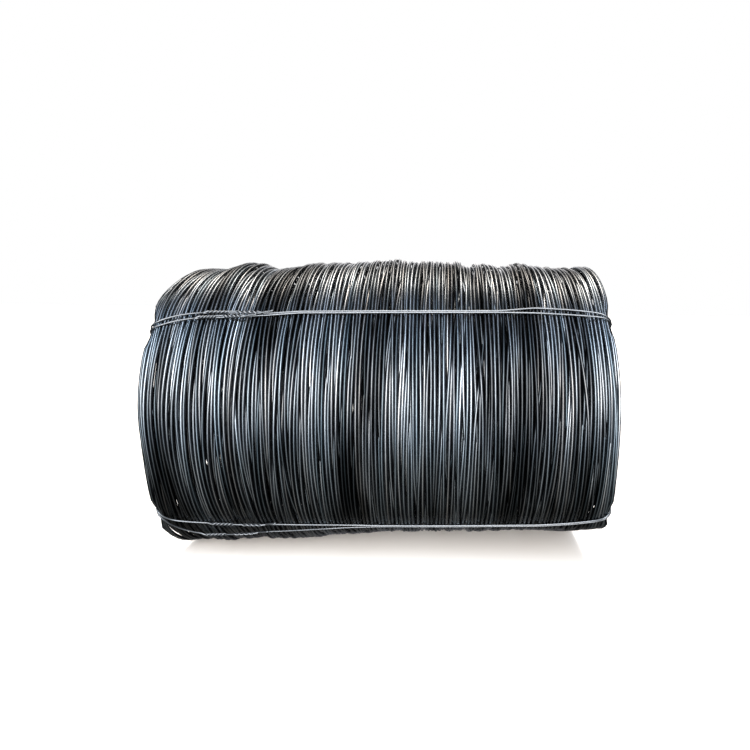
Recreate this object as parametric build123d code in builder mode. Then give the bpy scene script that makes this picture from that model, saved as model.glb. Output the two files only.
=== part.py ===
from build123d import *
import math
import os

# A coil of hot rolled wire rod, lying on its side. Its axis runs along X, it rests on Z 0, and its front
# is -Y. All lengths are millimetres.

# The coil, as it comes off the compactor: one rod, laid in rings one over another
rod_diameter = 13.0
coil_outer_diameter = 1250.0
coil_bore_diameter = 850.0
coil_length = 1730.0
turn_pitch = 13.6

# The outer turns step down towards each end, where the ties draw them in
left_shoulder_length = 130.0
left_shoulder_drop = 16.0
right_shoulder_length = 70.0
right_shoulder_drop = 8.0
shoulder_bend_radius = 260.0
outer_edge_radius = 36.0
bore_edge_radius = 26.0

# Tie wires: a pair at each of four places round the coil, drawn in until they lie flush with the turns
tie_diameter = 6.5
tie_pair_spacing = 22.0
tie_sink = 0.5
seat_gap = 0.3
tie_places = {"front_upper": 42.0, "front_lower": -43.5, "rear_upper": 136.5, "rear_lower": -135.5}

# The machine-twisted joint that closes each tie on the outside of the coil, near the left end
knot_diameter = 14.0
knot_length = 185.0
knot_from_left_end = 181.0
knot_stagger = 36.0
knot_end_chamfer = 2.0
tail_length = 45.0
tail_lift = 14.0

# How far the cuts run past the coil
overrun = 20.0

coil_radius = coil_outer_diameter / 2
bore_radius = coil_bore_diameter / 2
half_length = coil_length / 2
axis_height = coil_radius
rod_radius = rod_diameter / 2
tie_radius = tie_diameter / 2
knot_radius = knot_diameter / 2
tie_depth = tie_sink + tie_radius
channel_depth = tie_sink + tie_diameter + seat_gap


def section_plane(angle, round_offset=0.0):
    """Lengthwise plane at an angle above the front: local X along the coil, local Y straight outwards."""
    outwards = Vector(0, -math.cos(math.radians(angle)), math.sin(math.radians(angle)))
    along = Vector(1, 0, 0)
    across = along.cross(outwards)
    return Plane(origin=Vector(0, 0, axis_height) + across * round_offset, x_dir=along, z_dir=across)


def wall_corners(depth, end_depth):
    """Corners of the wall's section, that far inside its outer and bore faces and inside its ends."""
    left, right = -half_length + end_depth, half_length - end_depth
    return [
        (left, bore_radius + depth),
        (left, coil_radius - left_shoulder_drop - depth),
        (-half_length + left_shoulder_length, coil_radius - depth),
        (half_length - right_shoulder_length, coil_radius - depth),
        (right, coil_radius - right_shoulder_drop - depth),
        (right, bore_radius + depth),
    ]


def wall_radii(depth):
    """Radii of those corners, smaller by the same depth so that the outlines stay parallel."""
    radii = [bore_edge_radius, outer_edge_radius, shoulder_bend_radius]
    return [radius - depth for radius in radii + radii[::-1]]


def wall_outline(depth, end_depth):
    """The closed outline of the wall's section, drawn that far inside it."""
    return FilletPolyline(*wall_corners(depth, end_depth), radius=wall_radii(depth), close=True)


# The two ties of a pair lie side by side, the first nearer the top, and their knots are staggered so that
# they clear each other
ties = {}
for place, angle in tie_places.items():
    downwards = math.copysign(tie_pair_spacing / 2, math.cos(math.radians(angle)))
    for letter, side in (("a", 1), ("b", -1)):
        tie_plane = section_plane(angle, -side * downwards)
        knot_start = -half_length + knot_from_left_end + side * knot_stagger / 2
        ties[f"tie_wire_{place}_{letter}"] = (tie_plane, knot_start)


# The rod coil: one ring-shaped solid. On each end every turn shows as a half-round ridge, from the bore
# round both rounded edges to the shoulder.
with BuildPart() as rod_coil:
    with BuildSketch(section_plane(90.0)):
        with BuildLine():
            wall_outline(0, rod_radius)
        make_face()
        for side, drop in ((-1, left_shoulder_drop), (1, right_shoulder_drop)):
            with BuildLine(mode=Mode.PRIVATE) as end_line:
                bore_start = (side * (half_length - bore_edge_radius), bore_radius + rod_radius)
                bore_edge = JernArc(bore_start, (side, 0), bore_edge_radius - rod_radius, side * 90)
                face_end = (side * (half_length - rod_radius), coil_radius - drop - outer_edge_radius)
                face = Line(bore_edge @ 1, face_end)
                JernArc(face @ 1, (0, 1), outer_edge_radius - rod_radius, side * 90)
            end_wire = end_line.wire()
            turn_count = int(end_wire.length // turn_pitch)
            with Locations(*[end_wire @ ((turn + 0.5) / turn_count) for turn in range(turn_count)]):
                Circle(rod_radius)
    revolve(axis=Axis((0, 0, axis_height), (1, 0, 0)))

    # A channel for each tie, right round the wall, and in it a wider pocket for the knot
    for tie_plane, knot_start in ties.values():
        with BuildSketch(tie_plane):
            with Locations((0, (coil_radius + bore_radius) / 2)):
                Rectangle(coil_length + 2 * overrun, coil_radius - bore_radius + 2 * overrun)
            with BuildLine():
                wall_outline(channel_depth, channel_depth)
            make_face(mode=Mode.SUBTRACT)
        extrude(amount=tie_radius + seat_gap, both=True, mode=Mode.SUBTRACT)
        with BuildSketch(tie_plane):
            with Locations((knot_start - seat_gap, coil_radius - tie_depth - knot_radius - seat_gap)):
                Rectangle(
                    knot_length + 2 * seat_gap,
                    knot_diameter + overrun,
                    align=(Align.MIN, Align.MIN),
                )
        extrude(amount=knot_radius + seat_gap, both=True, mode=Mode.SUBTRACT)
rod_coil.part.label = "rod_coil"

os.makedirs("parts", exist_ok=True)
export_step(rod_coil.part, "parts/rod_coil.step")

# Each tie: a closed loop of wire round the wall of the coil, through the bore and back along the outside,
# with the stout twist that closes it and the cut tail that stands up from the twist's right end
for name, (tie_plane, knot_start) in ties.items():
    with BuildPart() as tie:
        knot_origin = tie_plane.from_local_coords((knot_start, coil_radius - tie_depth))
        with BuildSketch(Plane(origin=knot_origin, z_dir=tie_plane.x_dir)):
            Circle(knot_radius)
        extrude(amount=knot_length)
        chamfer(tie.edges().filter_by(GeomType.CIRCLE), length=knot_end_chamfer)
        with BuildLine(tie_plane) as loop:
            wall_outline(tie_depth, tie_depth)
        with BuildSketch(Plane(origin=loop.line @ 0, z_dir=loop.line % 0)):
            Circle(tie_radius)
        sweep(path=loop.line)
        tail_start = (knot_start + knot_length - knot_radius, coil_radius - tie_depth + tie_radius)
        lift = math.radians(tail_lift)
        tail_direction = tie_plane.x_dir * math.cos(lift) + tie_plane.y_dir * math.sin(lift)
        with BuildSketch(Plane(origin=tie_plane.from_local_coords(tail_start), z_dir=tail_direction)):
            Circle(tie_radius)
        extrude(amount=tail_length)
    tie.part.label = name
    export_step(tie.part, f"parts/{name}.step")
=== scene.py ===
import math
import bpy
import numpy as np
from mathutils import Euler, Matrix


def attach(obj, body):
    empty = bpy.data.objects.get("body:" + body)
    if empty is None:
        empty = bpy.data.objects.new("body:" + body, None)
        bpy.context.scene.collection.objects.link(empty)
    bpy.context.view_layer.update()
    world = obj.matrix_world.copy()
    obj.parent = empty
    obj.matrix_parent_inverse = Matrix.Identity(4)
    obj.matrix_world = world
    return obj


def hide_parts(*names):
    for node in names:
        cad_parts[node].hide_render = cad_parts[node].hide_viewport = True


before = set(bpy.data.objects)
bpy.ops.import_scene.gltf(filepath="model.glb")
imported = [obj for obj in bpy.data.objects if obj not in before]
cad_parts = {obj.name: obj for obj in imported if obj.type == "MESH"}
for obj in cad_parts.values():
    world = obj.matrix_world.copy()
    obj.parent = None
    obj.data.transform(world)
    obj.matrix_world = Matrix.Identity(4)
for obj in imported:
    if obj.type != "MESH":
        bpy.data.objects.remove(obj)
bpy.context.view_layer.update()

# A coil of hot rolled wire rod, lying on its side and held by four pairs of tie wires.
# Metres throughout. The coil's axis is X, its front is -Y, and it lies on Z 0.
# A place on it is given by x, by its radius from the axis, and by its angle: 0 at the front,
# 90 at the top, 180 at the rear, 270 underneath.


def linearColour(hexText):
    # each sRGB channel c becomes c / 12.92 below 0.04045, and ((c + 0.055) / 1.055) ** 2.4 above it
    srgb = np.array([int(hexText[i:i + 2], 16) / 255 for i in (0, 2, 4)])
    linear = np.where(srgb <= 0.04045, srgb / 12.92, ((srgb + 0.055) / 1.055) ** 2.4)
    return (*linear.tolist(), 1.0)


def addNode(tree, kind, settings=None, stops=None, **inputs):
    # adds one node, sets its properties, and fills or links its sockets by name or by number ("in0");
    # stops are a colour ramp's places and colours
    node = tree.nodes.new(kind)
    for key, value in (settings or {}).items():
        setattr(node, key, value)
    for k, (place, colour) in enumerate(stops or []):
        element = node.color_ramp.elements[k] if k < 2 else node.color_ramp.elements.new(place)
        element.position = place
        element.color = linearColour(colour)
    for key, value in inputs.items():
        numbered = key[:2] == "in" and key[2:].isdigit()
        socket = node.inputs[int(key[2:]) if numbered else key]
        if isinstance(value, bpy.types.NodeSocket):
            tree.links.new(value, socket)
        else:
            socket.default_value = value
    return node


def newMaterial(name):
    # an empty material with its Principled shader already on the output
    material = bpy.data.materials.new(name)
    material.use_nodes = True
    tree = material.node_tree
    tree.nodes.clear()
    shader = addNode(tree, "ShaderNodeBsdfPrincipled")
    addNode(tree, "ShaderNodeOutputMaterial", Surface=shader.outputs[0])
    return material, tree, shader


def easing(t):
    # 3 t^2 - 2 t^3 between 0 and 1
    t = np.clip(t, 0, 1)
    return t * t * (3 - 2 * t)


def bell(distance, reach):
    # exp(-(distance / reach) squared)
    return np.exp(-(distance / reach) ** 2)


def turnGap(a, b):
    # the angle from b to a, between -pi and pi
    return (a - b + np.pi) % (2 * np.pi) - np.pi


def averaged(values, span):
    # each value along the last axis becomes sum(w * v) / sum(w) over an odd span of them, where w is a
    # raised cosine; the first and last values are carried on beyond the ends
    window = np.hanning(span + 2)[1:-1]
    padded = np.pad(values, [(0, 0)] * (values.ndim - 1) + [(span // 2, span // 2)], mode="edge")
    return sum(w * padded[..., k:k + values.shape[-1]] for k, w in enumerate(window)) / window.sum()


def slowWaves(values, count):
    # the mean and the slowest waves round the coil, so many of them together, and nothing quicker
    wave = np.fft.rfft(values, axis=0)
    wave[count:] = 0
    return np.fft.irfft(wave, len(values), axis=0)


def smoothNoise(rng, count, period):
    # random values one period apart, joined by cubic easing
    knots = rng.standard_normal(int(count / period) + 3)
    t = np.arange(count) / period
    k = t.astype(int)
    f = easing(t - k)
    return knots[k] * (1 - f) + knots[k + 1] * f


def softLine(places, values, x, steps):
    # values given at places along the coil, joined by straight lines and averaged over so many 5 mm steps
    fine = np.linspace(-1.1, 1.1, 441)
    return np.interp(x, fine, averaged(np.interp(fine, places, values), steps))


tieWire = {
    "radius": 0.00325,          # 6.5 mm wire
    "sides": 8,
    "outerRadius": 0.6225,      # the wire's middle along the outside of the coil
    "boreRadius": 0.4288,       # and through the bore
    "endSink": 0.0038,          # how deep its middle lies in the coil's ends
    "cornerRadius": 0.042,
    "cornerPoints": 7,          # on each rounded corner
    "endPoints": 10,            # on each straight run over an end
    "step": 0.010,              # between points along the other plain runs
    "softSteps": 17,            # its run is averaged over so many 5 mm steps
    "pressReach": 0.050,        # how far to each side of a wire the rod gives way under it
    "pressFull": 1.5,           # above 1 the rod gives way fully for some width, not on one line alone
    "bite": 0.0004,             # how far the wire may sink into the rod's skin
    "twistRadius": 0.0034,      # of each wire round the middle of the twist
    "twistTurns": (2.6, 2.1),   # to the left and to the right of the twist's straight middle
    "twistStart": 0.6,          # angle of the twist's left end, in radians
    "twistStep": 0.0022,        # between points along the twist
    "twistRoom": 0.022,         # from the twist to the plain run on each side
    "straightShare": 0.18,
    "rightTail": 0.060,
    "leftTail": 0.020,
    "tail": (0.13, 0.13),       # how steeply a tail rises from the coil, and how far it veers round it
    "tailBend": 0.020,          # length over which it bends away
    "tailStep": 0.006,          # between points along a tail
}

# Each tie's run along the outside: x, angle in degrees, and how far it stands off the usual radius.
# Front ties follow the photograph, rear ones repeat them with small changes. Some have tails of their own.
tieRuns = {
    "front_upper_a": {"knot": (-0.660, -0.472), "run": [
        (-0.862, 36.0, 0), (-0.815, 38.6, 0), (-0.760, 40.3, 0), (-0.706, 41.2, 0), (-0.660, 41.4, 0),
        (-0.472, 41.7, 0), (-0.426, 41.6, 0), (-0.315, 42.7, 0), (0.063, 43.6, 0), (0.441, 44.4, 0),
        (0.579, 46.1, 0), (0.715, 45.4, 0), (0.818, 44.2, 0), (0.862, 42.2, 0)]},
    "front_upper_b": {"knot": (-0.686, -0.532), "run": [
        (-0.862, 34.4, 0), (-0.808, 36.5, 0), (-0.757, 38.1, 0), (-0.710, 38.9, 0), (-0.626, 39.5, 0),
        (-0.532, 40.0, 0), (-0.425, 40.8, 0), (-0.314, 42.0, 0), (0.063, 42.9, 0), (0.441, 43.7, 0),
        (0.577, 43.7, 0), (0.711, 43.1, 0), (0.815, 42.4, 0), (0.862, 41.3, 0)]},
    "front_lower_a": {"knot": (-0.668, -0.475), "tail": (0.03, 0.36), "run": [
        (-0.862, -36.6, 0), (-0.839, -40.6, 0), (-0.765, -42.0, 0), (-0.675, -42.6, 0), (-0.565, -42.8, 0),
        (-0.480, -42.7, 0), (-0.424, -42.6, 0), (-0.325, -42.5, 0), (-0.110, -42.2, -0.002),
        (-0.012, -42.5, -0.003), (0.269, -41.7, -0.005), (0.618, -39.6, -0.005), (0.739, -37.6, -0.004),
        (0.841, -34.8, -0.002), (0.862, -32.4, 0)]},
    "front_lower_b": {"knot": (-0.722, -0.519), "tail": (0.03, 0.36), "run": [
        (-0.862, -38.6, 0.002), (-0.849, -42.6, 0.006), (-0.796, -47.6, 0.010), (-0.733, -51.6, 0.012),
        (-0.630, -50.2, 0.012), (-0.517, -48.4, 0.010), (-0.467, -47.8, 0.009), (-0.374, -46.8, 0.007),
        (-0.214, -44.8, 0.003), (-0.136, -44.0, 0), (-0.012, -43.3, -0.003), (0.269, -42.5, -0.005),
        (0.618, -40.4, -0.005), (0.739, -38.4, -0.004), (0.841, -35.6, -0.002), (0.862, -33.2, 0)]},
    "rear_upper_a": {"knot": (-0.655, -0.470), "run": [
        (-0.862, 140.2, 0), (-0.780, 136.9, 0), (-0.620, 135.8, 0), (-0.350, 135.4, 0), (0.450, 135.8, 0),
        (0.690, 136.2, 0), (0.862, 138.4, 0)]},
    "rear_upper_b": {"knot": (-0.690, -0.515), "run": [
        (-0.862, 141.9, 0), (-0.780, 139.4, 0), (-0.620, 138.0, 0), (-0.350, 136.4, 0), (0.450, 136.5, 0),
        (0.690, 138.0, 0), (0.862, 139.6, 0)]},
    "rear_lower_a": {"knot": (-0.665, -0.480), "run": [
        (-0.862, 216.0, 0), (-0.780, 221.5, 0), (-0.530, 223.5, 0), (0.000, 224.5, 0), (0.530, 223.7, 0),
        (0.780, 220.0, 0), (0.862, 216.5, 0)]},
    "rear_lower_b": {"knot": (-0.705, -0.520), "run": [
        (-0.862, 217.2, 0), (-0.780, 224.0, 0.004), (-0.620, 227.5, 0.009), (-0.350, 225.8, 0.006),
        (0.000, 225.2, 0.002), (0.530, 224.5, 0), (0.780, 221.3, 0), (0.862, 217.8, 0)]},
}


def tieLine(run, x):
    # angle in radians and radius of a tie at x: the soft lines through its points
    place, angle, stand = np.array(run).T
    steps = tieWire["softSteps"]
    return softLine(place, np.radians(angle), x, steps), tieWire["outerRadius"] + softLine(place, stand, x, steps)


rod = {
    "radius": 0.0065,          # 13 mm rod
    "turns": 540,
    "stations": 96,            # places worked out on each turn
    "tubeSides": 8,
    "pieces": 5,               # the one rod is meshed in this many lengths
    "outerRadius": 0.625,
    "boreRadius": 0.425,
    "halfLength": 0.869,
    "axisHeight": 0.625,
    "edgeRadius": 0.010,       # of the coil's rounded rims
    "endSoftness": 0.004,      # over which the outermost turns are eased inside the ends
    "seamAngle": 222.0,        # where one turn is counted on to the next, low at the rear
    "blendShare": 0.14,        # share of a turn over which it passes into the next
    "seed": 2,
}

# How the rings are laid one on another
laying = {
    "ringStep": 0.19,          # how far round each ring is laid from the last, in turns
    "ringStepDrift": 0.02,     # slow wander of that step,
    "driftRings": 15,          # over so many rings
    "ringStepJitter": 0.01,    # ring to ring scatter of that step
    "crowding": (0.75, 0.60),  # how far the turns crowd to the outside and to the bore, from 0 to 1: in the
                               # middle of the coil, and at its two ends
    "endRings": 30,            # rings over which the one passes into the other
    "centreScatter": 0.003,    # scatter of the rings' offset from the axis
    "stiffness": 40,           # smoothing passes: more makes a stiffer rod that bridges wider gaps
    "bundle": 17,              # rings between the grooves that part one bundle from the next
    "grooveDepth": 0.016,
    "grooveFrom": 0.5,         # how rare the grooves are: only noise above this makes one
    "grooveShape": (0.65, 0.35),  # of its depth: the part that is even all round, and the part on one side
    "grooveWander": 0.02,      # how far that side moves on from ring to ring, in turns,
    "grooveWanderRings": 10,   # over so many rings
    "cell": 0.0015,            # the pile's top and foot are kept in cells of radius this wide,
    "spareCells": 8,           # from so many inside the bore,
    "cellSpan": 0.24,          # over this much radius
    "facePlaces": (0.437, 0.613),  # radii between which the pile's two faces are read,
    "faceCells": 29,           # each averaged over so many cells, some 45 mm,
    "faceWaves": 8,            # and made of its mean and its seven slowest waves
    "footPress": 0.022,        # how much of the first rings' loose start is pressed flat
}

# How the pile is pressed to the coil's length
pressing = {
    "endPress": 0.045,         # how much closer together the turns lie at the two ends, in all,
    "endReach": 0.10,          # over some such length of the coil
    "endPitch": 0.009,         # from the first and last of the outermost turns to the next
    "endWaves": 12,            # of the outermost turns' line at each end, its mean among them
    "evenDepth": 0.020,        # turns no deeper than this are spaced evenly,
    "evenPasses": 40,          # in this many passes,
    "evenShare": 0.7,          # each by this share of the way,
    "evenStations": 35,        # averaged over this many stations along the rod
    "evenHold": 0.15,          # what holds back a turn that is outermost only for a short way
    "levelDepth": 0.03,        # the lean that turns no deeper than this share is taken out,
    "levelPlaces": (0.8, 7),   # out to this share of half the length, in so many stretches,
    "levelReach": 0.16,        # each this long to both sides
    "levelRings": 41,          # neighbouring turns whose shared lean is taken out first
    "springStations": 17,      # stations over which the rod can't bend back and forth
    "wander": 0.008,           # how far each turn wanders sideways of its own,
    "wanderStations": 30,      # over so many stations
    "wanderSeed": 7,
}

# How far the outer turns stand off the round, along lines at a given angle: x and rise in metres.
# The top line follows the photograph.
slumps = [
    {"angle": 87, "reach": 30, "line": [
        (-0.865, -0.045), (-0.812, -0.034), (-0.743, -0.033), (-0.671, -0.005), (-0.602, 0.004), (-0.537, -0.026),
        (-0.468, -0.016), (-0.399, -0.006), (-0.330, 0.009), (-0.262, 0.010), (-0.194, 0.011), (-0.126, 0.016),
        (-0.058, 0.022), (0.009, 0.031), (0.076, 0.019), (0.144, 0.029), (0.211, 0.017), (0.279, 0.018),
        (0.347, 0.006), (0.413, 0.015), (0.482, -0.001), (0.547, 0.026), (0.616, 0.010), (0.682, 0.015),
        (0.750, 0.012), (0.817, 0.013), (0.865, 0.010)]},
    {"angle": 245, "reach": 18, "line": [
        (-0.865, 0.010), (-0.620, 0.020), (-0.270, 0.006), (0.180, 0.008), (0.620, 0.014), (0.865, 0.004)]},
]
slumpSteps = 7                 # each line is averaged over so many 5 mm steps
# Low at the front the coil has sagged flat, more towards the right: x and the flat's depth below the round.
# Where that is above 0 the coil bulges instead.
sag = {"angle": -66, "softness": 0.006, "halfWidth": 1.2, "fadeDepth": 0.01, "bulgeReach": 15, "line": [
    (-0.865, 0.022), (-0.745, 0.017), (-0.614, 0.019), (-0.550, 0.011), (-0.420, 0.005), (-0.291, -0.006),
    (-0.227, -0.016), (-0.162, -0.025), (-0.031, -0.032), (0.100, -0.035), (0.297, -0.039), (0.494, -0.047),
    (0.757, -0.052), (0.865, -0.060)]}
# The two ends also swell outwards in places.
swells = {"left": [{"angle": -50, "rise": 0.034, "reach": 19}, {"angle": 50, "rise": 0.024, "reach": 14}],
          "right": [{"angle": -40, "rise": 0.024, "reach": 16}]}
lumps = {"count": 60, "rise": 0.009, "span": 0.95, "along": (0.03, 0.09), "around": (14, 34), "seed": 5}


def endDepth(r):
    # how far the rounded rims fall back from the flat of an end: edge * (1 - sqrt(1 - 0.98 * t * t)), where
    # t goes from 0 to 1 over the edge's radius, at the outside and at the bore. The 0.98 keeps the rims'
    # slope from growing without end.
    edge = rod["edgeRadius"]
    outer = np.clip((r - rod["outerRadius"] + edge) / edge, 0, 1)
    inner = np.clip((rod["boreRadius"] + edge - r) / edge, 0, 1)
    t = np.maximum(outer, inner)
    return edge * (1 - np.sqrt(1 - 0.98 * t * t))


def coilEnd(side, angle):
    # how far an end lies from the coil's middle: half its length + rise * bell(angle from the swell) for each
    return rod["halfLength"] + sum(
        swell["rise"] * bell(turnGap(angle, math.radians(swell["angle"])), math.radians(swell["reach"]))
        for swell in swells[side])


def wallShare(r):
    # (r - bore) / (outside - bore): 0 at the bore and 1 at the outside
    return (r - rod["boreRadius"]) / (rod["outerRadius"] - rod["boreRadius"])


def coilPlace(x, r, angle):
    # from x, radius and angle to the point (x, -r * cos(angle), axis + r * sin(angle))
    return np.stack([x, -r * np.cos(angle), rod["axisHeight"] + r * np.sin(angle)], axis=-1)


def layRings():
    # Each ring is a circle off the axis, so its radius is middle + offset * c, where c is the cosine of
    # (angle - its own direction), mixed with sin(90 degrees * c), which stays longer at the two walls.
    # It comes down on the rings laid before it. The height of its support at each station is the highest
    # of (top of what lies there + the round rod's own lower half), and the rod is the tightest line above
    # those supports that its stiffness allows: z = max(support, mean of its two neighbours), repeated.
    rng = np.random.default_rng(rod["seed"])
    turns, stations, radius = rod["turns"], rod["stations"], rod["radius"]
    rng.random(turns)                      # passed over: the draws below follow these
    step = laying["ringStep"] + laying["ringStepDrift"] * smoothNoise(rng, turns + 1, laying["driftRings"])
    step += laying["ringStepJitter"] * rng.standard_normal(turns + 1)
    direction = 2 * np.pi * np.cumsum(step)
    share = np.arange(stations) / stations
    angle = math.radians(rod["seamAngle"]) + 2 * np.pi * share
    scatter = np.abs(laying["centreScatter"] * rng.standard_normal(turns + 1))
    rare = smoothNoise(rng, turns + 1, laying["bundle"] / 2) - laying["grooveFrom"]
    groove = np.clip(rare, 0, 1) * laying["grooveDepth"]
    fromEnd = np.minimum(np.arange(turns + 1), turns - np.arange(turns + 1)) / laying["endRings"]
    groove *= np.clip(fromEnd - 0.5, 0, 1)   # none near the two ends
    inside, atEnds = laying["crowding"]
    crowding = inside + (atEnds - inside) * np.exp(-fromEnd ** 2)
    grooveStep = laying["grooveWander"] * smoothNoise(rng, turns + 1, laying["grooveWanderRings"])
    grooveWay = 2 * np.pi * np.cumsum(grooveStep)
    allRound, oneSide = laying["grooveShape"]
    outer, inner = rod["outerRadius"] - radius, rod["boreRadius"] + radius
    cell = laying["cell"]
    lowest = rod["boreRadius"] - laying["spareCells"] * cell
    radii = lowest + cell * np.arange(int(laying["cellSpan"] / cell))
    top = np.tile(endDepth(radii), (stations, 1))     # what the pile has reached at each station and radius
    foot = np.full_like(top, np.inf)                  # and where it begins
    rows = np.arange(stations)[:, None]
    halfWidth = int(radius / cell) + 1
    spread = np.arange(-halfWidth, halfWidth + 1)
    height = np.zeros((turns, stations))
    reach = np.zeros((turns, stations))
    for ring in range(turns):
        toward = direction[ring] * (1 - share) + direction[ring + 1] * share
        loose = scatter[ring] * (1 - share) + scatter[ring + 1] * share
        loose = loose + groove[ring] * (allRound + oneSide * np.cos(angle - grooveWay[ring]))
        swing = np.cos(angle - toward)
        swing += crowding[ring] * (np.sin(np.pi / 2 * swing) - swing)
        r = (outer + inner) / 2 + ((outer - inner) / 2 - loose) * swing
        column = np.round((r - lowest) / cell).astype(int)[:, None] + spread
        across = lowest + column * cell - r[:, None]
        under = np.where(np.abs(across) < radius, np.sqrt(np.maximum(radius ** 2 - across ** 2, 0)), -1)
        pile, base = top[rows, column], foot[rows, column]
        support = (pile + under).max(axis=1)
        z = support
        for _ in range(laying["stiffness"]):
            z = np.maximum(support, (np.roll(z, 1) + np.roll(z, -1)) / 2)
        z = (np.roll(z, 1) + 2 * z + np.roll(z, -1)) / 4
        top[rows, column] = np.where(under > 0, np.maximum(pile, z[:, None] + under), pile)
        foot[rows, column] = np.where(under > 0, np.minimum(base, z[:, None] - under), base)
        height[ring], reach[ring] = z, r
    # the finished pile's foot and top at each place: the two walls' edges carried on, averaged over the
    # radius, and only their slow waves round the coil kept
    low, high = laying["facePlaces"]
    read = slice(int((low - lowest) / cell), int((high - lowest) / cell))
    column = np.clip(np.round((reach - low) / cell).astype(int), 0, read.stop - read.start - 1)
    row = np.arange(stations)[None, :]
    foot, top = [slowWaves(averaged(face[:, read], laying["faceCells"]), laying["faceWaves"])[row, column]
                 for face in (np.minimum(foot, laying["footPress"]), top)]
    return height, reach, angle, foot, top


def evenTurns(x, reach, left, right):
    # Pressing the coil evens out the turns that lie outermost. At each station every such turn moves towards
    # the middle of its two neighbours, and the first and last come up to theirs. The moves are averaged along
    # the rod, which is too stiff to kink: sum(window * move) / (sum(window * outermost) + a little). This is
    # repeated. Last, the turns near each end are drawn out to it: shift * exp(-distance / reach).
    outermost = reach > rod["outerRadius"] - rod["radius"] - pressing["evenDepth"]
    rows = [np.flatnonzero(outermost[:, k]) for k in range(rod["stations"])]
    window = np.hanning(pressing["evenStations"] + 2)[1:-1]
    near = np.convolve(outermost.ravel(), window, mode="same") + pressing["evenHold"] * window.sum()
    for _ in range(pressing["evenPasses"]):
        move = np.zeros_like(x)
        for k in range(rod["stations"]):
            order = rows[k][np.argsort(x[rows[k], k])]
            line = x[order, k]
            move[order[1:-1], k] = (line[2:] + line[:-2]) / 2 - line[1:-1]
            move[order[0], k] = max(line[1] - pressing["endPitch"] - line[0], 0)
            move[order[-1], k] = min(line[-2] + pressing["endPitch"] - line[-1], 0)
        move = np.convolve(move.ravel(), window, mode="same") / near
        x = x + pressing["evenShare"] * move.reshape(x.shape)
    for end, side in ((-left, -1), (right, 1)):
        edge = slowWaves(side * np.where(outermost, side * x, -1).max(axis=0), pressing["endWaves"])
        x = x + (end - side * rod["radius"] - edge) * np.exp(-np.abs(x - edge) / pressing["endReach"])
    return x


def levelTurns(x, reach):
    # Takes out the lean that the outer turns share, in each of several stretches of the coil: their mean
    # slope added up round the coil. It eases in from the wall's middle, and fades out towards the two ends
    # as 1 - (x / half the length) ** 4.
    half = rod["halfLength"]
    outside = reach > rod["outerRadius"] - pressing["levelDepth"]
    depth = np.clip(wallShare(reach) * 2 - 1, 0, 1)
    slope = np.gradient(x.ravel()).reshape(x.shape)
    climb, total = np.zeros_like(x), np.zeros_like(x)
    farthest, count = pressing["levelPlaces"]
    for middle in np.linspace(-farthest, farthest, count) * half:
        share = bell(x - middle, pressing["levelReach"])
        mean = (slope * outside * share).sum(axis=0) / (outside * share).sum(axis=0)
        rise = np.cumsum(mean - mean.mean())
        climb += share * (rise - rise.mean())
        total += share
    return x - climb / total * depth * (1 - np.clip(np.abs(x) / half, 0, 1) ** 4)


def rodPath():
    # The rings joined into one line: over the last part of each turn, its height and radius ease into the
    # next turn's. The pile's foot and top at each angle are then pressed to the coil's two ends. The turns
    # lie closer there: h becomes h - press * (1 - exp(-h / reach)), and the same from the top.
    height, reach, angle, foot, top = layRings()
    print("pile", round(float((top - foot).mean()), 3), "m pressed to", 2 * rod["halfLength"])
    share = np.arange(rod["stations"]) / rod["stations"]
    ease = easing((share - 1 + rod["blendShare"]) / rod["blendShare"])
    height = height * (1 - ease) + np.vstack([height[1:], height[-1:]]) * ease
    reach = reach * (1 - ease) + np.vstack([reach[1:], reach[-1:]]) * ease
    left, right = coilEnd("left", angle), coilEnd("right", angle)
    press, near, full = pressing["endPress"], pressing["endReach"], top - foot
    height = height - foot
    height = height - press * (1 - np.exp(-height / near) + np.exp((height - full) / near))
    x = height / (full - 2 * press) * (left + right) - left
    # the pile is levelled: the lean that some forty neighbouring turns share is taken out of each
    lean = x - x.mean(axis=1, keepdims=True)
    x = levelTurns(x - averaged(lean.T, pressing["levelRings"]).T, reach)
    # the rod is springy, so it has no short bends: x is averaged along it, and it wanders a little of its own
    line = averaged(x.ravel(), pressing["springStations"])
    rng = np.random.default_rng(pressing["wanderSeed"])
    line += pressing["wander"] * smoothNoise(rng, line.size, pressing["wanderStations"])
    x = levelTurns(evenTurns(line.reshape(x.shape), reach, left, right), reach)
    return x.ravel(), reach.ravel(), np.tile(angle, rod["turns"])


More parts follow.
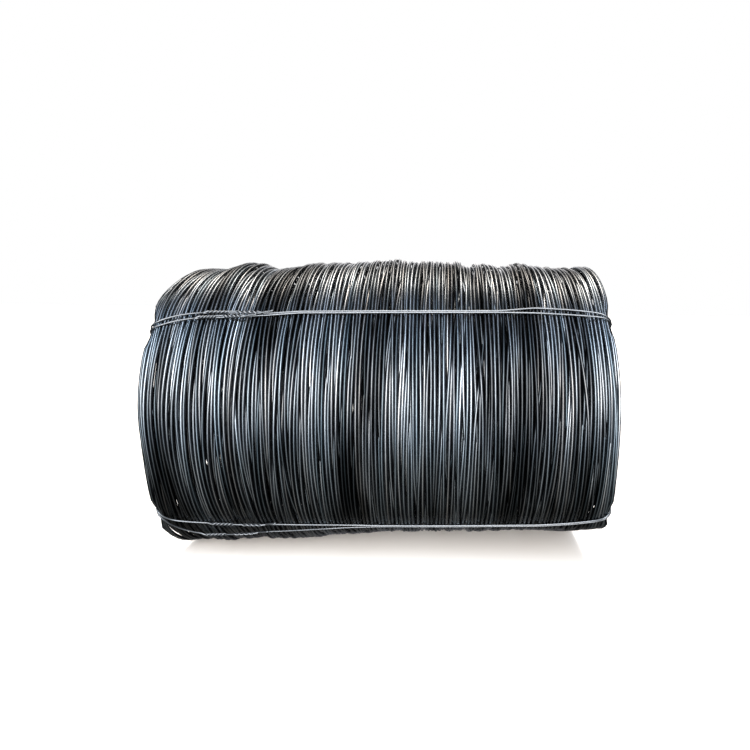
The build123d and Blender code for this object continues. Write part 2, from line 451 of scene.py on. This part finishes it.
def slumpRod(x, r, angle):
    # Moves the outer turns in or out: rise(x) * bell(angle from the line) for each line, and the same for
    # a few dozen small lumps, all scaled from nothing at the bore to full at the outside. The sagged flat
    # is a plane, so its radius is distance / cos(angle from its middle), eased into the round by
    # softness * log(1 + exp(-depth / softness)).
    rise = np.zeros_like(r)
    for slump in slumps:
        line = softLine(*np.array(slump["line"]).T, x, slumpSteps)
        rise += line * bell(turnGap(angle, math.radians(slump["angle"])), math.radians(slump["reach"]))
    gap = np.clip(turnGap(angle, math.radians(sag["angle"])), -sag["halfWidth"], sag["halfWidth"])
    level = softLine(*np.array(sag["line"]).T, x, slumpSteps)
    flat = (rod["outerRadius"] + np.minimum(level, 0)) / np.cos(gap) - rod["outerRadius"]
    fade = np.clip(-level / sag["fadeDepth"], 0, 1)
    rise -= sag["softness"] * np.log1p(np.exp(-flat / sag["softness"])) * fade
    rise += np.maximum(level, 0) * bell(gap, math.radians(sag["bulgeReach"]))
    rng = np.random.default_rng(lumps["seed"])
    for _ in range(lumps["count"]):
        middle, way = rng.uniform(-lumps["span"], lumps["span"]), rng.uniform(0, 2 * np.pi)
        along, around = rng.uniform(*lumps["along"]), math.radians(rng.uniform(*lumps["around"]))
        rise += lumps["rise"] * rng.uniform(-1, 1) * bell(x - middle, along) * bell(turnGap(angle, way), around)
    return r + rise * wallShare(r)


def pressRod(x, r, angle):
    # Under each tie the rod gives way until it lies inside the tie's loop, a rounded rectangle in x and r
    # made smaller by both radii. How far a point lies outside it is the length of (qx, qr) less the corner
    # radius at a corner, and the larger of qx and qr less that radius along a side. It moves in by
    # min(pressFull * bell(distance from the tie), 1) of that.
    margin = tieWire["radius"] + rod["radius"] - tieWire["bite"]
    corner = tieWire["cornerRadius"] - margin
    for tie in tieRuns.values():
        tieAngle, tieRadius = tieLine(tie["run"], x)
        near = np.minimum(tieWire["pressFull"] * bell(turnGap(angle, tieAngle) * r, tieWire["pressReach"]), 1)
        low, high = tieWire["boreRadius"] + margin, tieRadius - margin
        end = np.where(x < 0, coilEnd("left", tieAngle), coilEnd("right", tieAngle)) - tieWire["endSink"]
        qx = np.abs(x) - (end - margin - corner)
        qr = np.abs(r - (low + high) / 2) - ((high - low) / 2 - corner)
        cornerDistance = np.hypot(np.maximum(qx, 0), np.maximum(qr, 0))
        outside = np.maximum(cornerDistance + np.minimum(np.maximum(qx, qr), 0) - corner, 0) * near
        atCorner, distance = (qx > 0) & (qr > 0), np.maximum(cornerDistance, 1e-9)
        alongX = np.where(atCorner, qx / distance, qx > qr)
        alongR = np.where(atCorner, qr / distance, qr >= qx)
        x = x - outside * alongX * np.sign(x)
        r = r - outside * alongR * np.sign(r - (low + high) / 2)
    return x, r


def rodPoints():
    # The finished line of the rod: slumped, held inside the ends, pressed under the ties and on the floor.
    # From three softnesses inside a limit on, x becomes limit - softness * log(1 + exp(-over / softness)).
    x, r, angle = rodPath()
    r = slumpRod(x, r, angle)
    limit = np.where(x < 0, coilEnd("left", angle), coilEnd("right", angle)) - rod["radius"] - endDepth(r)
    softness = rod["endSoftness"]
    over = (np.abs(x) - limit) / softness
    held = limit - softness * np.log1p(np.exp(-np.clip(over, -40, 40)))
    x = np.where(over > -3, np.sign(x) * held, x)
    points = coilPlace(*pressRod(x, r, angle), angle)
    points[:, 2] = np.maximum(points[:, 2], rod["radius"])
    return points


def tubeMesh(name, points, radius, sides, reference):
    # A profile carried along a path: each point p gives a ring p + radius * (cos a * n + sin a * b), where
    # n is the reference direction made square to the path, and b is square to both.
    tangent = np.gradient(points, axis=0)
    tangent /= np.linalg.norm(tangent, axis=1, keepdims=True)
    n = reference - (reference * tangent).sum(axis=1, keepdims=True) * tangent
    n /= np.linalg.norm(n, axis=1, keepdims=True)
    b = np.cross(tangent, n)
    a = (2 * np.pi * np.arange(sides) / sides)[None, :, None]
    rings = points[:, None] + radius * (np.cos(a) * n[:, None] + np.sin(a) * b[:, None])
    count = len(points)
    along, around = np.meshgrid(np.arange(count - 1), np.arange(sides), indexing="ij")
    after = (around + 1) % sides
    quads = np.stack([along * sides + around, along * sides + after, (along + 1) * sides + after,
                      (along + 1) * sides + around], axis=-1).reshape(-1, 4)
    ends = np.concatenate([np.arange(sides)[::-1], (count - 1) * sides + np.arange(sides)])
    loops = np.concatenate([quads.ravel(), ends])
    starts = np.concatenate([np.arange(len(quads)) * 4, len(quads) * 4 + np.array([0, sides])])
    mesh = bpy.data.meshes.new(name)
    mesh.vertices.add(count * sides)
    mesh.vertices.foreach_set("co", rings.astype(np.float32).ravel())
    mesh.loops.add(len(loops))
    mesh.loops.foreach_set("vertex_index", loops.astype(np.int32))
    mesh.polygons.add(len(starts))
    mesh.polygons.foreach_set("loop_start", starts.astype(np.int32))
    smooth = np.ones(len(starts), dtype=bool)
    smooth[-2:] = False                    # the two cut ends are flat
    mesh.polygons.foreach_set("use_smooth", smooth)
    mesh.update(calc_edges=True)
    # the UV map: u is the length along the path in metres, and v goes from 0 to 1 round it
    length = np.concatenate([[0], np.cumsum(np.linalg.norm(np.diff(points, axis=0), axis=1))])
    wallTurn = np.stack([around, around + 1, around + 1, around], axis=-1).ravel()
    turn = np.concatenate([wallTurn, np.tile(np.arange(sides), 2)])
    layer = mesh.uv_layers.new(name="along")
    uv = np.stack([length[loops // sides], turn / sides], axis=-1)
    layer.data.foreach_set("uv", uv.astype(np.float32).ravel())
    mesh.validate()
    obj = bpy.data.objects.new(name, mesh)
    bpy.context.scene.collection.objects.link(obj)
    return obj


rodLine = rodPoints()
print("rod laid:", rod["turns"], "turns")
rodPieces = []
perPiece = rod["turns"] // rod["pieces"] * rod["stations"]
for k in range(rod["pieces"]):
    last = len(rodLine) if k == rod["pieces"] - 1 else (k + 1) * perPiece + 1
    part = rodLine[k * perPiece:last]
    outward = part * [0, 1, 1] - [0, 0, rod["axisHeight"]]
    rodPieces.append(tubeMesh(f"rod_turns_{k + 1}", part, rod["radius"], rod["tubeSides"], outward))
print("rod meshed")


def loopSection(run, xFrom, xTo):
    # The tie's loop in x and radius from xFrom on its outside, over the right end, back through the bore
    # and over the left end, to xTo on its outside: straight runs and quarter circles
    corner, bore, step, across = (tieWire[key] for key in ("cornerRadius", "boreRadius", "step", "endPoints"))
    quarter = np.linspace(0, np.pi / 2, tieWire["cornerPoints"] + 2)[1:-1]
    out, up = corner * np.sin(quarter), corner * np.cos(quarter)
    leftTop, rightTop = tieLine(run, -1.0)[1], tieLine(run, 1.0)[1]
    left = tieWire["endSink"] - coilEnd("left", tieLine(run, -1.0)[0])
    right = coilEnd("right", tieLine(run, 1.0)[0]) - tieWire["endSink"]
    xRight = np.arange(xFrom, right - corner, step)
    xLeft = np.arange(xTo, left + corner, -step)[::-1]
    xBore = np.arange(right - corner, left + corner, -step)
    rRight = np.linspace(rightTop - corner, bore + corner, across)
    rLeft = np.linspace(bore + corner, leftTop - corner, across)
    x = np.concatenate([
        xRight, right - corner + out, np.full(across, right), right - corner + up, xBore,
        left + corner - out, np.full(across, left), left + corner - up, xLeft])
    r = np.concatenate([
        tieLine(run, xRight)[1], rightTop - corner + up, rRight, bore + corner - out,
        np.full(len(xBore), bore), bore + corner - up, rLeft, leftTop - corner + out, tieLine(run, xLeft)[1]])
    return x, r


def tiePoints(tie):
    # One wire: its left tail, once through the twist, round the coil's wall, through the twist again and
    # its right tail. In the twist the two passes circle one middle line half a turn apart. They turn one
    # way up to its straight middle and back the other way after it, as a machine leaves them.
    left, right = tie["knot"]
    run, room = tie["run"], tieWire["twistRoom"]
    x = np.arange(left, right, tieWire["twistStep"])
    share = (x - left) / (right - left)
    straight = tieWire["straightShare"]
    half = (1 - straight) / 2
    before, behind = tieWire["twistTurns"]
    turned = before * np.clip(share / half, 0, 1) - behind * np.clip((share - half - straight) / half, 0, 1)
    twist = 2 * np.pi * turned + tieWire["twistStart"]
    angle, r = tieLine(run, x)
    middle = coilPlace(x, r + tieWire["twistRadius"], angle)
    out = np.stack([np.zeros_like(x), -np.cos(angle), np.sin(angle)], axis=-1)
    up = np.stack([np.zeros_like(x), np.sin(angle), np.cos(angle)], axis=-1)
    side = tieWire["twistRadius"] * (np.cos(twist)[:, None] * out + np.sin(twist)[:, None] * up)
    xLoop, rLoop = loopSection(run, right + room, left - room)
    loop = coilPlace(xLoop, rLoop, tieLine(run, xLoop)[0])
    lift, veer = tie.get("tail", tieWire["tail"])

    def tail(start, outward, upward, way, length):
        # start + way * t along the coil + eased t * (lift outwards and veer upwards)
        t = np.linspace(0, length, max(int(length / tieWire["tailStep"]), 4))[1:, None]
        bend = easing(t / tieWire["tailBend"])
        return start + way * t * np.array([1, 0, 0]) + bend * t * (lift * outward + veer * upward)

    rightTail = tail((middle + side)[-1], out[-1], up[-1], 1, tieWire["rightTail"])
    leftTail = tail((middle - side)[0], out[0], -up[0], -1, tieWire["leftTail"])[::-1]
    return np.concatenate([leftTail, middle - side, loop, middle + side, rightTail])


tiePieces = {}
for name, tie in tieRuns.items():
    wire = tiePoints(tie)
    outward = wire * [0, 1, 1] - [0, 0, rod["axisHeight"]]
    sideways = np.cross(outward, [1.0, 0, 0])
    tiePieces[name] = tubeMesh(f"tie_{name}", wire, tieWire["radius"], tieWire["sides"], sideways)
print("ties twisted")


# Hot rolled rod: bare metal under thin blue grey mill scale, half smooth, so each turn carries one bright
# line. The scale's tone drifts along the rod, and some turns lean to teal and some to brown. Whole bundles
# of turns are also painted lighter or darker: partly the scale's own tone, partly painted shade and light
# for bundles that lie deeper or face the light differently.
millScale = {
    "tones": [(0.30, "3e4347"), (0.52, "686d71"), (0.72, "909599")],
    # the bundles' tone is partly the scale's own and partly painted shade and light
    "bundleToneAndShade": (0.28, 1.8),       # darkest and lightest bundle,
    "bundleRange": (0.40, 0.62),     # between these levels of their pattern
    "turnTints": [(0.34, "8da1aa"), (0.5, "d6d8db"), (0.66, "fff4ec")],
    "roughness": (0.20, 0.36),
    "grainHeight": 0.00006,          # of the scale's fine grain, 0.06 mm
    "grainShare": 0.5,               # of that height
}
# Each pattern's coordinates, how many of its cells go to a metre, its detail and its roughness. On the rod's
# UV map they are cells to a metre of rod and cells round its 41 mm girth.
millPatterns = {
    "patches": ("rod", (1.3, 2.0, 1.0), 3.0, 0.5),      # patches of scale, 770 mm long and 20 mm wide
    # the bundles' pattern below carries painted shade and light as well as the scale's own tone
    "bundles": ("coil", (10.0, 0.8, 0.8), 4.0, 0.65),   # 100 mm wide along the coil, 1250 mm across it
    "turns": ("rod", (0.22, 0.0, 1.0), 3.0, 0.6),       # 4500 mm of rod, about a turn and a third
    "grain": ("rod", (12.0, 8.0, 1.0), 2.0, 0.5),       # 83 mm long and 5 mm wide: the real grain is far
                                                        # under 1 mm, too fine to show
}
rodSteel, tree, shader = newMaterial("HotRolledRodMillScale")
shader.inputs["Metallic"].default_value = 1.0
coordinates = {"rod": addNode(tree, "ShaderNodeUVMap", {"uv_map": "along"}).outputs[0],
               "coil": addNode(tree, "ShaderNodeTexCoord").outputs["Object"]}
pattern = {}
for name, (source, cells, detail, roughness) in millPatterns.items():
    mapped = addNode(tree, "ShaderNodeMapping", Vector=coordinates[source], Scale=cells)
    noise = addNode(tree, "ShaderNodeTexNoise", Vector=mapped.outputs[0], Scale=1.0, Detail=detail, Roughness=roughness)
    pattern[name] = noise.outputs[0]
tone = addNode(tree, "ShaderNodeValToRGB", stops=millScale["tones"], in0=pattern["patches"])
tint = addNode(tree, "ShaderNodeValToRGB", stops=millScale["turnTints"], in0=pattern["turns"])
tinted = addNode(tree, "ShaderNodeMix", {"data_type": "RGBA", "blend_type": "MULTIPLY"}, in0=1.0,
                 in6=tone.outputs[0], in7=tint.outputs[0])
(low, high), (dark, light) = millScale["bundleRange"], millScale["bundleToneAndShade"]
# Painted shade and light, mixed with the scale's own tone: whole bundles of turns along the coil made darker or lighter
bundleToneAndShade = addNode(tree, "ShaderNodeMapRange", in0=pattern["bundles"], in1=low, in2=high, in3=dark, in4=light)
shaded = addNode(tree, "ShaderNodeVectorMath", {"operation": "SCALE"}, in0=tinted.outputs[2],
                 in3=bundleToneAndShade.outputs[0])
smoothest, dullest = millScale["roughness"]
dull = addNode(tree, "ShaderNodeMapRange", in0=pattern["grain"], in1=0.3, in2=0.7, in3=smoothest, in4=dullest)
rough = addNode(tree, "ShaderNodeBump", in0=millScale["grainShare"], in1=millScale["grainHeight"],
                Height=pattern["grain"])
for socket, node in (("Base Color", shaded), ("Roughness", dull), ("Normal", rough)):
    tree.links.new(node.outputs[0], shader.inputs[socket])

# Drawn tie wire: cold drawn and bright once, now a dull grey, with faint die lines along it
drawnWire = {
    "tones": [(0.3, "4c5054"), (0.7, "7c8084")],
    "roughness": (0.38, 0.55),
    "dieLines": (9.0, 14.0, 1.0),    # to a metre along the wire and round its 20 mm girth: 110 mm long and
                                     # 1.5 mm wide, where real ones are hair fine, too fine to show
}
tieSteel, tree, shader = newMaterial("DrawnTieWire")
shader.inputs["Metallic"].default_value = 1.0
along = addNode(tree, "ShaderNodeUVMap", {"uv_map": "along"}).outputs[0]
mapped = addNode(tree, "ShaderNodeMapping", Vector=along, Scale=drawnWire["dieLines"])
lines = addNode(tree, "ShaderNodeTexNoise", Vector=mapped.outputs[0], Scale=1.0, Detail=4.0, Roughness=0.6)
tone = addNode(tree, "ShaderNodeValToRGB", stops=drawnWire["tones"], in0=lines.outputs[0])
smoothest, dullest = drawnWire["roughness"]
dull = addNode(tree, "ShaderNodeMapRange", in0=lines.outputs[0], in1=0.3, in2=0.7, in3=smoothest, in4=dullest)
for socket, node in (("Base Color", tone), ("Roughness", dull)):
    tree.links.new(node.outputs[0], shader.inputs[socket])

for piece in rodPieces:
    piece.data.materials.append(rodSteel)
    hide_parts("rod_coil")
    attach(piece, "root")
for name, piece in tiePieces.items():
    piece.data.materials.append(tieSteel)
    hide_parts("tie_wire_" + name)
    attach(piece, "root")
print("finishes made")


# A painted floor, matt and nearly white, so it gives a soft even ground and no reflections
paleFloor = {"half": 30, "colour": "f6f3ee", "roughness": 0.8}   # half its width in metres
half = paleFloor["half"]
floorMesh = bpy.data.meshes.new("floor")
floorMesh.from_pydata([(-half, -half, 0), (half, -half, 0), (half, half, 0), (-half, half, 0)], [], [(0, 1, 2, 3)])
floor = bpy.data.objects.new("floor", floorMesh)
bpy.context.scene.collection.objects.link(floor)
floorPaint, tree, shader = newMaterial("PalePaintedFloor")
shader.inputs["Base Color"].default_value = linearColour(paleFloor["colour"])
shader.inputs["Roughness"].default_value = paleFloor["roughness"]
floorMesh.materials.append(floorPaint)
floor.visible_glossy = False

# The light comes from all round, in soft bands along the coil. Angles are measured round the coil's axis
# from the front: 90 is overhead, 180 the rear, -90 straight down.
studioLight = {
    "strength": 50.0,
    "bands": [(-180, "1c1b19"), (-150, "0c0c0d"), (-97, "131210"), (-75, "252422"), (-56, "343331"),
              (-36, "434341"), (-16, "5c5e60"), (3, "989592"), (20, "bcb4ae"), (37, "9a9896"), (58, "90969c"),
              (76, "6d727a"), (94, "404247"), (104, "968e86"), (117, "ecddcc"), (127, "80786f"), (141, "2d2b2a"),
              (157, "464443")],
    "spread": (0.58, 0.24),    # the light fades out over this share of the way to the coil's two ends: low
    "spreadAngles": (38, 64),  # and high up, below the first angle and above the second
    "endLight": 0.024,         # and leaves this share of itself there,
    "endTint": "c8d6e6",       # tinted by this
    "backdrop": "ffffff",      # what the camera sees behind the floor
}
world = bpy.data.worlds.new("studio")
world.use_nodes = True
tree = world.node_tree
tree.nodes.clear()
direction = addNode(tree, "ShaderNodeSeparateXYZ", Vector=addNode(tree, "ShaderNodeTexCoord").outputs["Generated"])
forward = addNode(tree, "ShaderNodeMath", {"operation": "MULTIPLY"}, in0=direction.outputs[1], in1=-1.0)
height = addNode(tree, "ShaderNodeMath", {"operation": "ARCTAN2"}, in0=direction.outputs[2], in1=forward.outputs[0])
place = addNode(tree, "ShaderNodeMapRange", in0=height.outputs[0], in1=-math.pi, in2=math.pi)
stops = [(angle / 360 + 0.5, colour) for angle, colour in studioLight["bands"]]
bands = addNode(tree, "ShaderNodeValToRGB", stops=stops, in0=place.outputs[0])
toEnd = addNode(tree, "ShaderNodeMath", {"operation": "ABSOLUTE"}, in0=direction.outputs[0])
(below, above), (lowSpread, highSpread) = studioLight["spreadAngles"], studioLight["spread"]
spread = addNode(tree, "ShaderNodeMapRange", in0=height.outputs[0], in1=math.radians(below), in2=math.radians(above),
                 in3=lowSpread, in4=highSpread)
fade = addNode(tree, "ShaderNodeMapRange", {"interpolation_type": "SMOOTHSTEP"}, in0=toEnd.outputs[0], in1=0.0,
               in2=spread.outputs[0])
power = addNode(tree, "ShaderNodeMapRange", in0=fade.outputs[0], in3=studioLight["strength"],
                in4=studioLight["strength"] * studioLight["endLight"])
cool = addNode(tree, "ShaderNodeMix", {"data_type": "RGBA", "blend_type": "MULTIPLY"}, in0=fade.outputs[0],
               in6=bands.outputs[0], in7=linearColour(studioLight["endTint"]))
soft = addNode(tree, "ShaderNodeBackground", Color=cool.outputs[2], Strength=power.outputs[0])
backdrop = addNode(tree, "ShaderNodeBackground", Color=linearColour(studioLight["backdrop"]), Strength=1.0)
seen = addNode(tree, "ShaderNodeLightPath")
mixed = addNode(tree, "ShaderNodeMixShader", in0=seen.outputs["Is Camera Ray"], in1=soft.outputs[0],
                in2=backdrop.outputs[0])
addNode(tree, "ShaderNodeOutputWorld", Surface=mixed.outputs[0])
bpy.context.scene.world = world

# The camera, fitted to the photograph's frame of 750 pixels square
view = {
    "place": (0.2110, -2.5358, 1.1250),
    "frame": 750,
    "sensor": 36,              # its width in millimetres
    "focalLength": 549.8,      # in pixels
    "middle": (432.0, 358.0),  # the pixel that it points at
    "down": 6.769,             # degrees below level,
    "heading": 0.657,          # to the left of straight on,
    "tilt": 0.912,             # and rolled
}
camera = bpy.data.cameras.new("camera")
camera.sensor_width = view["sensor"]
camera.lens = view["focalLength"] / view["frame"] * view["sensor"]
camera.shift_x = (view["frame"] / 2 - view["middle"][0]) / view["frame"]
camera.shift_y = (view["middle"][1] - view["frame"] / 2) / view["frame"]
cameraObject = bpy.data.objects.new("camera", camera)
cameraObject.location = view["place"]
turnDown = Euler((math.radians(90 - view["down"]), 0, 0)).to_matrix()
heading = Euler((0, 0, math.radians(view["heading"]))).to_matrix()
tilt = Euler((0, 0, math.radians(view["tilt"]))).to_matrix()
cameraObject.rotation_euler = (heading @ turnDown @ tilt).to_euler()
bpy.context.scene.collection.objects.link(cameraObject)
bpy.context.scene.camera = cameraObject
bpy.context.scene.view_settings.view_transform = "Standard"
print("light and camera set")
